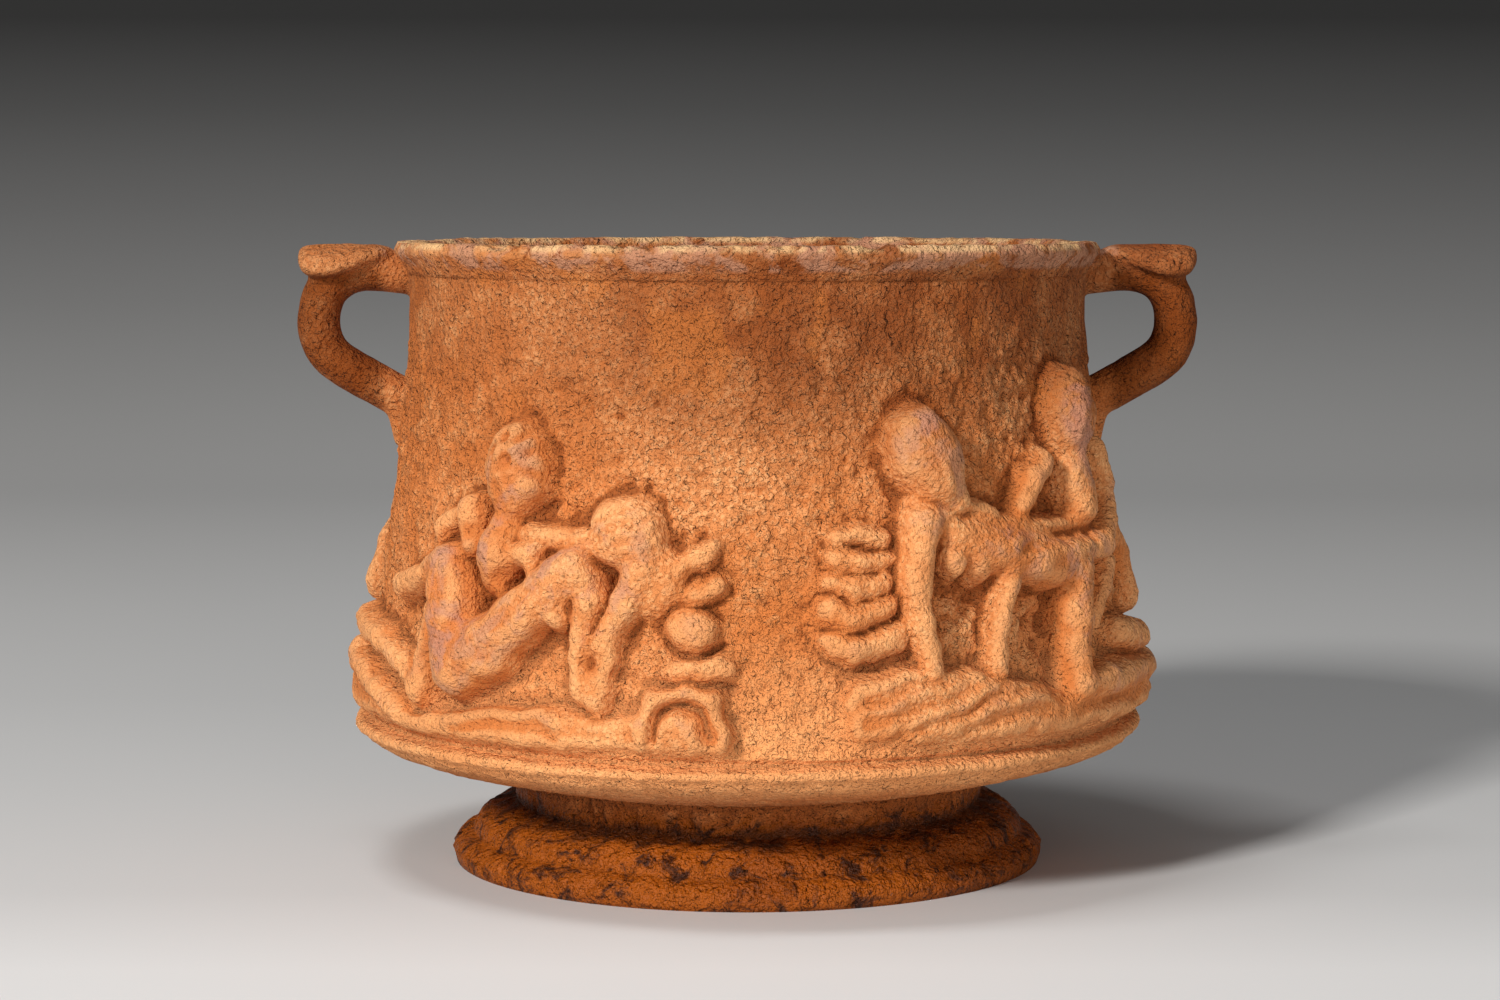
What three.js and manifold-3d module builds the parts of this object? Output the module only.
// Terracotta skyphos: a drinking cup on a moulded foot, with two ring handles under thumb plates
// and four applied reliefs round the belly, each of two figures on a couch with cushions.
// The whole cup is one fired solid. Millimetres, +Z up, the origin on the ground under its axis,
// the handles on the X axis and the front towards -Y.

import * as THREE from "three";
import { mergeVertices } from "three/addons/utils/BufferGeometryUtils.js";
import Module from "manifold-3d";

// Bowl
const HEIGHT = 105.6;
const RIM_RADIUS = 60;
const LIP_HEIGHT = 3.2;
const LIP_ROUNDING = 0.7;
const LIP_UNDERCUT = 1.2;
const RIM_WIDTH = 4.4;
const NECK_RADIUS = 57.5;
const NECK_LENGTH = 9.2;
const BELLY_RADIUS = 65.3;
const BELLY_HEIGHT = 26.6;
const FLARE_POWER = 1.25;
const WALL = 4.2;
const FLOOR_THICKNESS = 5;
const FLOOR_CORNER_RADIUS = 9;
const FLOOR_DISH = 1;

// Groove and keel under the reliefs, and the underside down to the stem
const GROOVE_DEPTH = 0.9;
const GROOVE_WIDTH = 1.3;
const KEEL_RADIUS = 67.3;
const KEEL_LEDGE = 0.8;
const KEEL_ROUNDING = 1.4;
const UNDERSIDE_DEPTH = 9.2;
const UNDERSIDE_FULLNESS = 2.8;

// Stem and foot
const STEM_RADIUS = 40.2;
const STEM_HEIGHT = 10.2;
const STEM_WALL = 6;
const ROLL_RADIUS = 46.9;
const ROLL_FOOT = 5.3;
const FLANGE_RADIUS = 51;
const FLANGE_TOP = 4.5;
const FLANGE_MIDDLE = 1.8;
const RESTING_RING_WIDTH = 7;
const FLANGE_ROUNDING = 0.8;
const FLANGE_STEP = 2;
const ROLL_SLOPE = 1.4;
const ROLL_FULLNESS = 0.9;
const STEM_SEAT = 0.5;
const RECESS_CROWN = 0.4;
const RECESS_CORNER = 0.85;

// Handles
const HANDLE_REACH = 77;
const HANDLE_THICKNESS = 7.4;
const HANDLE_WIDTH = 9;
const HANDLE_DROP = 21.7;
const HANDLE_ELBOW_DROP = 9.2;
const HANDLE_TAIL_LENGTH = 11;
const HANDLE_TAIL_DEPTH = 3;
const HANDLE_TAIL_END_DEPTH = 1.2;
const HANDLE_TAIL_LAP = 2.5;
const HANDLE_CROWN = 0.5;
const HANDLE_CORNER = 2.2;
const HANDLE_CORNER_DROP = 1.8;
const HANDLE_SIDE = 3;
const HANDLE_FOOT_RISE = 4;
const RIM_TO_PLATE = 0.3;
const PLATE_INNER_THICKNESS = 2.4;
const PLATE_OUTER_THICKNESS = 5;
const PLATE_SEAT = 1.4;
const PLATE_HALF_WIDTH = 8.4;
const PLATE_NECK_HALF_WIDTH = 5.2;
const PLATE_DROOP = 3.6;
const PLATE_INNER_DROOP = 0.3;
const PLATE_CROWN = 0.3;
const PLATE_GAP = 1.1;
const PLATE_OVERHANG = 0.3;
const PLATE_CORNER = 0.4;
const PLATE_END_ROUNDING = 1.2;
const PLATE_END_SHARE = 0.74;
const PLATE_WIDEST_SHARE = 0.55;

// Reliefs: how full their forms are, and how the skin that carries them sits in the wall
const LIMB_FULLNESS = 2.4;
const PAD_FULLNESS = 4;
const RELIEF_MARGIN = 2;
const RELIEF_FOOT = 26.4;
const RELIEF_SINK = 7;
const RELIEF_ROOT = 8;

// How finely the forms are divided
const TURNS = 46;
const HANDLE_SIDES = 8;
const FRONT_CELL = 2.5;
const BACK_CELL = 5;

const CLAY = new THREE.MeshStandardMaterial({
  color: new THREE.Color(0.74, 0.43, 0.25),
  roughness: 0.95,
  metalness: 0,
});

const wasm = await Module();
wasm.setup();

// A closed geometry as a solid that can be joined and cut.
function solid(geometry) {
  const bare = geometry.index ? geometry.toNonIndexed() : geometry.clone();
  bare.deleteAttribute("normal");
  bare.deleteAttribute("uv");
  const merged = mergeVertices(bare, 1e-4);
  const corners = merged.index.array;
  const kept = [];
  for (let i = 0; i < corners.length; i += 3) {
    const [a, b, c] = corners.slice(i, i + 3);
    if (a !== b && b !== c && c !== a) kept.push(a, b, c);
  }
  return new wasm.Manifold(
    new wasm.Mesh({
      numProp: 3,
      vertProperties: merged.attributes.position.array,
      triVerts: new Uint32Array(kept),
    }),
  );
}

// The joined solid as a geometry.
function geometryOf(manifold) {
  const mesh = manifold.getMesh();
  const positions = new Float32Array(mesh.numVert * 3);
  for (let i = 0; i < mesh.numVert; i++) {
    positions.set(mesh.vertProperties.subarray(i * mesh.numProp, i * mesh.numProp + 3), i * 3);
  }
  const geometry = new THREE.BufferGeometry();
  geometry.setAttribute("position", new THREE.BufferAttribute(positions, 3));
  geometry.setIndex(new THREE.BufferAttribute(mesh.triVerts, 1));
  geometry.computeVertexNormals();
  return geometry;
}

// A closed skin over rings of points, each ring the same length and the ends filled flat.
// Each four-sided cell is split along its shorter diagonal, so ridges stay unbroken.
function loft(rings) {
  const sides = rings[0].length;
  const points = rings.flat();
  const positions = points.flatMap((p) => [p.x, p.y, p.z]);
  const gap = (i, j) => points[i].distanceToSquared(points[j]);
  const faces = [];
  for (let i = 0; i + 1 < rings.length; i++) {
    for (let j = 0; j < sides; j++) {
      const a = i * sides + j;
      const b = i * sides + ((j + 1) % sides);
      const c = a + sides;
      const d = b + sides;
      if (gap(b, c) <= gap(a, d)) faces.push(a, b, c, b, d, c);
      else faces.push(a, b, d, a, d, c);
    }
  }
  const last = (rings.length - 1) * sides;
  for (let j = 1; j + 1 < sides; j++) {
    faces.push(0, j + 1, j);
    faces.push(last, last + j, last + j + 1);
  }
  const geometry = new THREE.BufferGeometry();
  geometry.setAttribute("position", new THREE.Float32BufferAttribute(positions, 3));
  geometry.setIndex(faces);
  return geometry;
}

// A profile of (radius, height) points turned about the Z axis.
function turned(points, turns = TURNS) {
  return solid(new THREE.LatheGeometry(points, turns).rotateX(Math.PI / 2));
}

const point = (radius, height) => new THREE.Vector2(radius, height);

const LIP_FOOT = HEIGHT - LIP_HEIGHT;
const NECK_HEIGHT = LIP_FOOT - LIP_UNDERCUT - NECK_LENGTH;

// The radius of the plain outer wall, between the groove and the lip.
function wallRadius(height) {
  const share = THREE.MathUtils.clamp((NECK_HEIGHT - height) / (NECK_HEIGHT - BELLY_HEIGHT), 0, 1);
  return NECK_RADIUS + (BELLY_RADIUS - NECK_RADIUS) * Math.pow(share, FLARE_POWER);
}

// Heights that the profile and the handles are worked out from
const KEEL_HEIGHT = BELLY_HEIGHT - GROOVE_WIDTH - KEEL_LEDGE;
const STEM_TOP = KEEL_HEIGHT - UNDERSIDE_DEPTH;
const UNDERSIDE_CONTROL = point(KEEL_RADIUS - UNDERSIDE_FULLNESS, (KEEL_HEIGHT + STEM_TOP) / 2);
const FLOOR_TOP = STEM_TOP + FLOOR_THICKNESS;
const PLATE_TOP = HEIGHT - RIM_TO_PLATE;
const PLATE_THICKNESS = (PLATE_INNER_THICKNESS + PLATE_OUTER_THICKNESS) / 2;
const HANDLE_TOP = PLATE_TOP - PLATE_THICKNESS - PLATE_SEAT;
const HANDLE_ROOT = HANDLE_TOP - HANDLE_DROP;
const HANDLE_ELBOW_HEIGHT = HANDLE_TOP - HANDLE_ELBOW_DROP;

function underside(divisions) {
  const curve = new THREE.QuadraticBezierCurve(
    point(KEEL_RADIUS - KEEL_ROUNDING, KEEL_HEIGHT - KEEL_ROUNDING),
    UNDERSIDE_CONTROL,
    point(STEM_RADIUS, STEM_TOP),
  );
  return curve.getPoints(divisions).reverse();
}

// The foot's outline from the resting ring up to the stem: a rounded flange, then a roll.
function footOutline() {
  const rollTop = point(STEM_RADIUS + ROLL_SLOPE, STEM_HEIGHT - STEM_SEAT);
  const roll = new THREE.QuadraticBezierCurve(
    point(ROLL_RADIUS, ROLL_FOOT),
    point(ROLL_RADIUS, (STEM_HEIGHT + ROLL_FOOT) / 2 + ROLL_FULLNESS),
    rollTop,
  );
  return [
    point(FLANGE_RADIUS - FLANGE_ROUNDING, 0),
    point(FLANGE_RADIUS, FLANGE_MIDDLE),
    point(FLANGE_RADIUS - FLANGE_ROUNDING, (FLANGE_TOP + FLANGE_MIDDLE) / 2),
    point(FLANGE_RADIUS - FLANGE_STEP, FLANGE_TOP),
    ...roll.getPoints(3),
    point(STEM_RADIUS - STEM_SEAT, STEM_HEIGHT),
  ];
}

function wallOutline() {
  const rows = 5;
  const foot = BELLY_HEIGHT;
  const top = LIP_FOOT - LIP_UNDERCUT;
  return Array.from({ length: rows + 1 }, (_, i) => {
    const height = foot + ((top - foot) * i) / rows;
    return point(wallRadius(height), height);
  });
}

// The bowl and foot as one turned solid, still full inside.
function outerForm() {
  const recessTop = FLOOR_TOP - FLOOR_THICKNESS;
  const recessRadius = STEM_RADIUS - STEM_WALL;
  return turned([
    point(0, recessTop),
    point(recessRadius * RECESS_CORNER, recessTop - RECESS_CROWN),
    point(recessRadius, STEM_HEIGHT + 1),
    point(FLANGE_RADIUS - RESTING_RING_WIDTH, 0),
    ...footOutline(),
    ...underside(4),
    ...[-0.6, 0, 0.6].map((level) =>
      point(KEEL_RADIUS - KEEL_ROUNDING * level ** 2, KEEL_HEIGHT + KEEL_ROUNDING * level),
    ),
    point(BELLY_RADIUS - GROOVE_DEPTH, BELLY_HEIGHT - GROOVE_WIDTH / 2),
    ...wallOutline(),
    point(RIM_RADIUS, LIP_FOOT),
    point(RIM_RADIUS, HEIGHT - LIP_ROUNDING),
    point(RIM_RADIUS - LIP_ROUNDING, HEIGHT),
    point(0, HEIGHT),
  ]);
}

// The hollow of the bowl, open above the rim.
function cavityForm() {
  const rows = 2;
  const corner = FLOOR_TOP + FLOOR_CORNER_RADIUS;
  const top = LIP_FOOT - LIP_UNDERCUT;
  const wall = Array.from({ length: rows + 1 }, (_, i) => {
    const height = corner + ((top - corner) * i) / rows;
    return point(wallRadius(height) - WALL, height);
  });
  const bend = new THREE.QuadraticBezierCurve(
    point(STEM_RADIUS, FLOOR_TOP + FLOOR_DISH),
    point(wall[0].x, FLOOR_TOP + 2 * FLOOR_DISH),
    wall[0],
  );
  const mouth = RIM_RADIUS - RIM_WIDTH;
  return turned([
    point(0, FLOOR_TOP),
    ...bend.getPoints(3).slice(0, -1),
    ...wall,
    point(mouth, HEIGHT - LIP_ROUNDING),
    point(mouth + LIP_ROUNDING, HEIGHT),
    point(mouth + LIP_ROUNDING, HEIGHT + 5),
    point(0, HEIGHT + 5),
  ]);
}

// The ring of the handle on the +X side: an oval strap along a curve from the neck round to the wall.
function handleRing() {
  const half = HANDLE_THICKNESS / 2;
  const outer = HANDLE_REACH - half;
  const start = NECK_RADIUS - WALL / 2;
  const middle = (NECK_RADIUS + outer) / 2;
  const path = new THREE.CatmullRomCurve3(
    [
      [start, HANDLE_TOP - HANDLE_CROWN],
      [middle, HANDLE_TOP + HANDLE_CROWN],
      [outer - HANDLE_CORNER, HANDLE_TOP - HANDLE_CORNER_DROP],
      [outer, HANDLE_ELBOW_HEIGHT + HANDLE_SIDE / 2],
      [outer - HANDLE_SIDE / 2, HANDLE_ELBOW_HEIGHT - 1.5 * HANDLE_SIDE],
      [middle, HANDLE_ROOT + HANDLE_FOOT_RISE],
      [wallRadius(HANDLE_ROOT) - WALL / 2, HANDLE_ROOT],
    ].map(([x, z]) => new THREE.Vector3(x, 0, z)),
    false,
    "catmullrom",
    0.5,
  );
  const steps = 14;
  const across = new THREE.Vector3(0, 1, 0);
  const rings = [];
  for (let i = 0; i <= steps; i++) {
    const centre = path.getPointAt(i / steps);
    const out = new THREE.Vector3().crossVectors(path.getTangentAt(i / steps), across);
    rings.push(oval(centre, out, across, half, HANDLE_WIDTH / 2, HANDLE_SIDES));
  }
  return solid(loft(rings));
}

// Points round an ellipse with its half axes along two directions.
function oval(centre, first, second, a, b, sides) {
  return Array.from({ length: sides }, (_, j) => {
    const angle = (2 * Math.PI * j) / sides;
    return centre
      .clone()
      .addScaledVector(first, -a * Math.cos(angle))
      .addScaledVector(second, b * Math.sin(angle));
  });
}

// The lower end of the handle, drawn out down the wall in a tapering tail.
function handleTail() {
  const rows = 4;
  const outward = new THREE.Vector3(1, 0, 0);
  const across = new THREE.Vector3(0, 1, 0);
  const rings = [];
  for (let i = 0; i <= rows; i++) {
    const share = i / rows;
    const height = HANDLE_ROOT + HANDLE_TAIL_LAP - HANDLE_TAIL_LENGTH * share;
    const depth = THREE.MathUtils.lerp(HANDLE_TAIL_DEPTH, HANDLE_TAIL_END_DEPTH, share);
    const width = (HANDLE_WIDTH / 2) * THREE.MathUtils.lerp(1, 0.5, share);
    const centre = new THREE.Vector3(wallRadius(height) + (depth - HANDLE_TAIL_END_DEPTH) / 2, 0, height);
    rings.push(oval(centre, outward, across, depth, width, HANDLE_SIDES));
  }
  return solid(loft(rings));
}

// The thumb plate: a leaf-shaped plate over the ring, thicker and more drooping at its outer end.
function thumbPlate() {
  const inner = RIM_RADIUS + PLATE_GAP;
  const outer = HANDLE_REACH - PLATE_OVERHANG;
  const widest = THREE.MathUtils.lerp(inner, outer, PLATE_WIDEST_SHARE);
  const outline = new THREE.CatmullRomCurve3(
    [
      [inner, 0],
      [inner + PLATE_CORNER, -PLATE_NECK_HALF_WIDTH],
      [widest, -PLATE_HALF_WIDTH],
      [outer - PLATE_END_ROUNDING, -PLATE_HALF_WIDTH * PLATE_END_SHARE],
      [outer, 0],
      [outer - PLATE_END_ROUNDING, PLATE_HALF_WIDTH * PLATE_END_SHARE],
      [widest, PLATE_HALF_WIDTH],
      [inner + PLATE_CORNER, PLATE_NECK_HALF_WIDTH],
    ].map(([x, y]) => new THREE.Vector3(x, y, 0)),
    true,
  ).getSpacedPoints(14);
  outline.pop();
  const middle = new THREE.Vector3((inner + outer) / 2, 0, 0);
  // Each layer of the plate: its level from the underside up, and how far out it spreads
  const layers = [
    [0, 0.72],
    [0.3, 0.95],
    [0.75, 1],
    [1, 0.9],
    [1, 0.45],
  ];
  const rings = layers.map(([level, spread]) =>
    outline.map((p) => {
      const q = middle.clone().lerp(p, spread);
      const outward = (q.x - inner) / (outer - inner);
      const thickness = THREE.MathUtils.lerp(PLATE_INNER_THICKNESS, PLATE_OUTER_THICKNESS, outward);
      const bend = PLATE_DROOP * THREE.MathUtils.lerp(PLATE_INNER_DROOP, 1, outward);
      const droop = bend * (q.y / PLATE_HALF_WIDTH) ** 2 + PLATE_CROWN * spread;
      return q.setZ(PLATE_TOP - thickness * (1 - level) - droop);
    }),
  );
  return solid(loft(rings));
}

// Reliefs. A place on the wall is (along, up): millimetres round the belly from the middle of the
// front, and height above the ground. Lift is how far a form's middle stands off the plain wall.
const TURN_PER_MM = 1 / BELLY_RADIUS;

function onWall(along, up, lift = 0) {
  const radius = wallRadius(up) + lift;
  const angle = along * TURN_PER_MM;
  return new THREE.Vector3(radius * Math.sin(angle), -radius * Math.cos(angle), up);
}

// The rounded section of a form: 1 over its middle, 0 at its edge and falling steadily beyond it.
const swell = (share, fullness) => (share < 1 ? 1 - share ** fullness : fullness * (1 - share));

// A tapered bone between two joints, each joint being along, up, lift and radius.
function bone(from, to) {
  const [along, up] = from;
  const run = to[0] - along;
  const rise = to[1] - up;
  const span = run * run + rise * rise;
  return {
    reach: [from, to].map(([x, y, , radius]) => [x - radius, x + radius, y - radius, y + radius]),
    height(x, y) {
      const share = THREE.MathUtils.clamp(((x - along) * run + (y - up) * rise) / span, 0, 1);
      const [atX, atY, lift, radius] = from.map((value, k) => THREE.MathUtils.lerp(value, to[k], share));
      return lift + radius * swell(Math.hypot(x - atX, y - atY) / radius, LIMB_FULLNESS);
    },
  };
}

// A chain of bones through three or more joints.
function limb(...joints) {
  return joints.slice(1).map((joint, i) => bone(joints[i], joint));
}

// A flattened ball: half sizes across, up and outward, tilted clockwise by degrees.
function mound([along, up, lift], across, tall, deep, tilt = 0) {
  const reach = Math.max(across, tall);
  const turn = THREE.MathUtils.degToRad(tilt);
  return {
    reach: [[along - reach, along + reach, up - reach, up + reach]],
    height(x, y) {
      const right = (x - along) * Math.cos(turn) - (y - up) * Math.sin(turn);
      const over = (x - along) * Math.sin(turn) + (y - up) * Math.cos(turn);
      return lift + deep * swell(Math.hypot(right / across, over / tall), LIMB_FULLNESS);
    },
  };
}

// A length of mattress between two stations, each station being along, low edge, high edge, lift.
function padding(from, to) {
  return {
    reach: [from, to].map(([x, low, high]) => [x, x, low, high]),
    height(x, y) {
      const share = THREE.MathUtils.clamp((x - from[0]) / (to[0] - from[0]), 0, 1);
      const [atX, low, high, lift] = from.map((value, k) => THREE.MathUtils.lerp(value, to[k], share));
      const level = Math.abs(y - (low + high) / 2) / ((high - low) / 2);
      return lift * swell(level, PAD_FULLNESS) - PAD_FULLNESS * Math.abs(x - atX);
    },
  };
}

function mattress(...stations) {
  return stations.slice(1).map((station, i) => padding(stations[i], station));
}

// The first relief. One figure sits up behind, one reclines in front, cushions at the right end.
function firstGroup() {
  return [
    // The figure behind
    mound([-41, 70.2, 1.6], 6.4, 7.8, 5, -8),
    ...limb([-42.1, 61.5, 1.6, 3.4], [-43, 57.5, 1.6, 4.4], [-43.4, 52, 0.8, 3.6]),
    ...limb([-51, 64, 2, 2.6], [-50, 58.5, 1.4, 2.6]),
    ...limb([-53.5, 63, 1.2, 1.8], [-58.8, 59.8, 1.2, 1.8], [-58.4, 56.4, 1, 1.6]),
    ...limb([-37.5, 60.2, 1.6, 2], [-27, 59.4, 1.8, 2]),
    ...limb([-41.6, 56.8, 3, 2], [-36.6, 57.6, 3, 1.9], [-35.2, 54.6, 2.8, 1.8]),
    // The head, neck and trunk of the figure in front
    mound([-19.4, 60.6, 1.6], 6.8, 6, 4.4, 30),
    ...limb([-27, 58.8, 1.6, 2.2], [-22, 59.5, 1.8, 2.6]),
    ...limb(
      [-29.2, 54.6, 2.4, 4.3],
      [-36, 49, 1.8, 4.9],
      [-44, 42.6, 1.6, 5.6],
      [-49.4, 38.8, 1.6, 5.2],
    ),
    mound([-31.1, 48.6, 3.4], 2.4, 2.4, 2.4),
    mound([-15.4, 54, 1.2], 6, 6, 3, 30),
    // Its arms, the right one with the forearm raised
    ...limb([-27.9, 55.5, 3.4, 3], [-25.4, 50.8, 3, 2.5], [-26.6, 45.5, 2.4, 2.1], [-26, 36, 1.2, 2.2]),
    ...limb([-16.7, 55.6, 2.4, 3.1], [-19.6, 50, 2.4, 2.5], [-22.6, 44.6, 2, 2.2], [-24, 35, 1, 2.4]),
    ...limb([-15.5, 54, 1.2, 2.6], [-10.8, 55.8, 1, 2], [-5.6, 58.8, 0.5, 1.8]),
    // Its legs, both knees drawn up and the feet at the left end
    ...limb([-49.5, 38.8, 2, 5], [-51.7, 47, 2.6, 4.3], [-54.1, 54.4, 3, 3.6]),
    ...limb([-54.5, 55, 2.6, 2.8], [-61, 52.4, 1.8, 2.4], [-70, 50.2, 1.2, 2.2]),
    ...limb([-57.2, 50.1, 1.2, 2.2], [-57.4, 43, 1.8, 2.4], [-59.8, 34, 1.8, 2.5]),
    ...limb([-59.8, 34, 1.6, 2.2], [-65.4, 37.6, 1.8, 2], [-75.2, 40.6, 2, 2.2], [-95, 41.8, 1.6, 2.2]),
    ...limb([-64.5, 29.6, 1.8, 2], [-72.5, 32.6, 2, 2.3], [-87, 35.2, 2, 2.6]),
    // Cushions and the couch
    ...limb([-12.4, 50, 0.3, 1.8], [-8.6, 51.6, 0.5, 2], [-5.4, 53.4, 0.2, 2.1]),
    mound([-8.7, 46.8, 0.8], 4.1, 3.4, 3.2),
    mound([-7.8, 40.6, 0.4], 6.4, 2.4, 2.7),
    ...limb(
      [-16, 32.4, 1.2, 1.7],
      [-14, 35.6, 1.6, 1.7],
      [-10, 37, 1.6, 1.7],
      [-5.4, 35.8, 1.6, 1.7],
      [-3.4, 30.4, 1.2, 1.7],
    ),
    mound([-9.8, 31.2, 0.6], 6.6, 4.2, 3.2),
    ...mattress(
      [-97, 27.8, 33, 2],
      [-91, 27.2, 35.4, 3.2],
      [-76, 27.2, 32, 3],
      [-60, 27, 30.6, 3],
      [-49, 27, 32.4, 3.2],
      [-33, 27, 34.4, 3.2],
      [-24, 27, 33, 3.2],
      [-14, 27.2, 34, 3],
      [-3, 28, 32, 2.2],
    ),
  ];
}

// The second relief. One figure leans forward on both arms, one rises behind, cushions at the left end.
function secondGroup() {
  return [
    // The head, neck and trunk of the figure in front
    mound([30.2, 73.2, 1.8], 6.5, 8, 5.6, -32),
    ...limb([31.5, 70, 3, 4.4], [35.8, 66.2, 2.6, 2.6]),
    ...limb([29.6, 65.4, 1.4, 3], [32.5, 63.5, 1.6, 3.2]),
    ...limb([38, 64.6, 1.4, 2.4], [42.6, 62.2, 1.4, 2.6]),
    ...limb([35, 60.6, 1.2, 3.8], [43, 57.8, 1.2, 4.4], [52, 55.6, 1.4, 4.6], [62.4, 54, 1.8, 4.4]),
    ...limb([45.5, 61, 1.2, 2.6], [56, 60.2, 1, 2.4], [70, 59.4, 1, 2.4]),
    mound([34.4, 56.6, 1.8], 2.9, 3.2, 3),
    mound([39.8, 56.2, 1.6], 2.9, 3.2, 2.8),
    // Its arms and legs
    ...limb(
      [29.3, 62.6, 3, 3.1],
      [27.9, 57.8, 3.2, 2.6],
      [27.4, 52, 2.8, 2.2],
      [28, 46.6, 2.6, 2.1],
      [30, 40.6, 1.8, 2],
    ),
    ...limb([45.4, 58, 3, 2.8], [45, 52.6, 2.4, 2.1], [43.3, 46.8, 2, 2], [42, 39.6, 1.6, 2]),
    ...limb([61.8, 52.4, 2, 4.4], [61.1, 45.3, 2.4, 3.5], [60.2, 36, 2.2, 3]),
    ...limb([60, 34.6, 2.4, 3.1], [68.5, 34.6, 2.6, 2.8], [83, 34.2, 2.8, 2.8], [95.2, 34, 2.8, 3.2]),
    // The figure behind
    mound([66, 78.2, 1.6], 5.8, 7.8, 5.4, 4),
    ...limb([65.4, 71, 1.6, 3.4], [66.4, 64, 1, 4.8]),
    ...limb([57.2, 71, 1.6, 2.4], [53.8, 68, 1.6, 2.3], [50.6, 64, 1.4, 2.1]),
    ...limb(
      [79, 71.6, 1.4, 2.6],
      [80.6, 66, 1.8, 2.4],
      [75.4, 59.6, 3, 2.4],
      [70.4, 56.6, 3.8, 2.4],
      [60, 55.9, 4, 2.1],
      [49.7, 56.4, 3.4, 2],
    ),
    ...limb([76.6, 52.6, 1.8, 2.2], [73, 48.6, 1.8, 2], [69, 44.2, 1.6, 1.8]),
    ...limb([83, 60, 0, 3], [92, 53, 0.2, 3.2], [94, 46, 1.4, 3.2]),
    ...limb([78, 41, 2, 2.6], [90, 39.4, 2.6, 3.2]),
    // Cushions and the couch
    ...limb([14.9, 60.6, 0.4, 1.7], [18, 61.2, 0.4, 1.8], [22.7, 60.4, 0.4, 1.7]),
    ...limb([14.5, 57.6, 0.4, 1.7], [18.6, 56.4, 0.6, 1.9], [23.5, 57, 0.4, 1.7]),
    ...limb([13.2, 54, 0.5, 1.8], [17, 52.6, 0.7, 2], [23, 53.4, 0.5, 1.8]),
    ...limb([12.6, 49.8, 0.7, 2], [15.8, 48.4, 0.8, 2.2], [23, 49.6, 0.6, 1.9]),
    ...limb([13.6, 44.4, 0.9, 2.6], [17, 43.6, 1, 2.6], [24.5, 45.2, 0.7, 2.1]),
    ...mattress(
      [14.8, 30.5, 36.4, 1.4],
      [17, 28.6, 38.8, 3.2],
      [22, 28, 40.6, 3.8],
      [30, 27.4, 41, 4],
      [44, 27.2, 38.6, 4],
      [56, 27.2, 35, 3.6],
      [78, 26.9, 33.2, 3.8],
      [92, 26.9, 33.6, 4.4],
      [97, 27.6, 33, 2.4],
    ),
  ];
}

// The forms of one relief as a solid skin over the wall, sunk just under the wall between them.
function relief(forms, cell) {
  const reach = forms.flatMap((form) => form.reach);
  const left = Math.min(...reach.map((box) => box[0])) - RELIEF_MARGIN;
  const right = Math.max(...reach.map((box) => box[1])) + RELIEF_MARGIN;
  const low = Math.max(Math.min(...reach.map((box) => box[2])) - RELIEF_MARGIN, RELIEF_FOOT);
  const high = Math.max(...reach.map((box) => box[3])) + RELIEF_MARGIN;
  const columns = Math.ceil((right - left) / cell);
  const rows = Math.ceil((high - low) / cell);
  const lift = (x, y) => Math.max(-RELIEF_SINK, ...forms.map((form) => form.height(x, y)));
  const rings = [];
  for (let i = 0; i <= columns; i++) {
    const along = THREE.MathUtils.lerp(left, right, i / columns);
    const edge = i === 0 || i === columns;
    const ring = [onWall(along, low, -RELIEF_ROOT), onWall(along, high, -RELIEF_ROOT)];
    for (let j = rows; j >= 0; j--) {
      const up = THREE.MathUtils.lerp(low, high, j / rows);
      ring.push(onWall(along, up, edge || j === rows ? -RELIEF_SINK : lift(along, up)));
    }
    rings.push(ring);
  }
  return solid(loft(rings));
}

// All four reliefs: two on the front, and the same two half round the cup, made plainer.
function reliefs() {
  const groups = [firstGroup(), secondGroup()];
  const front = groups.map((forms) => relief(forms, FRONT_CELL));
  const back = groups.map((forms) => halfTurned(relief(forms, BACK_CELL)));
  return wasm.Manifold.union([...front, ...back]);
}

function halfTurned(manifold) {
  return manifold.rotate([0, 0, 180]);
}

function skyphos() {
  const handle = wasm.Manifold.union([handleRing(), handleTail(), thumbPlate()]);
  return outerForm().add(reliefs()).add(handle).add(halfTurned(handle)).subtract(cavityForm());
}

const mesh = new THREE.Mesh(geometryOf(skyphos()), CLAY);
mesh.name = "skyphos";

const cup = new THREE.Group();
cup.add(mesh);

export default cup;
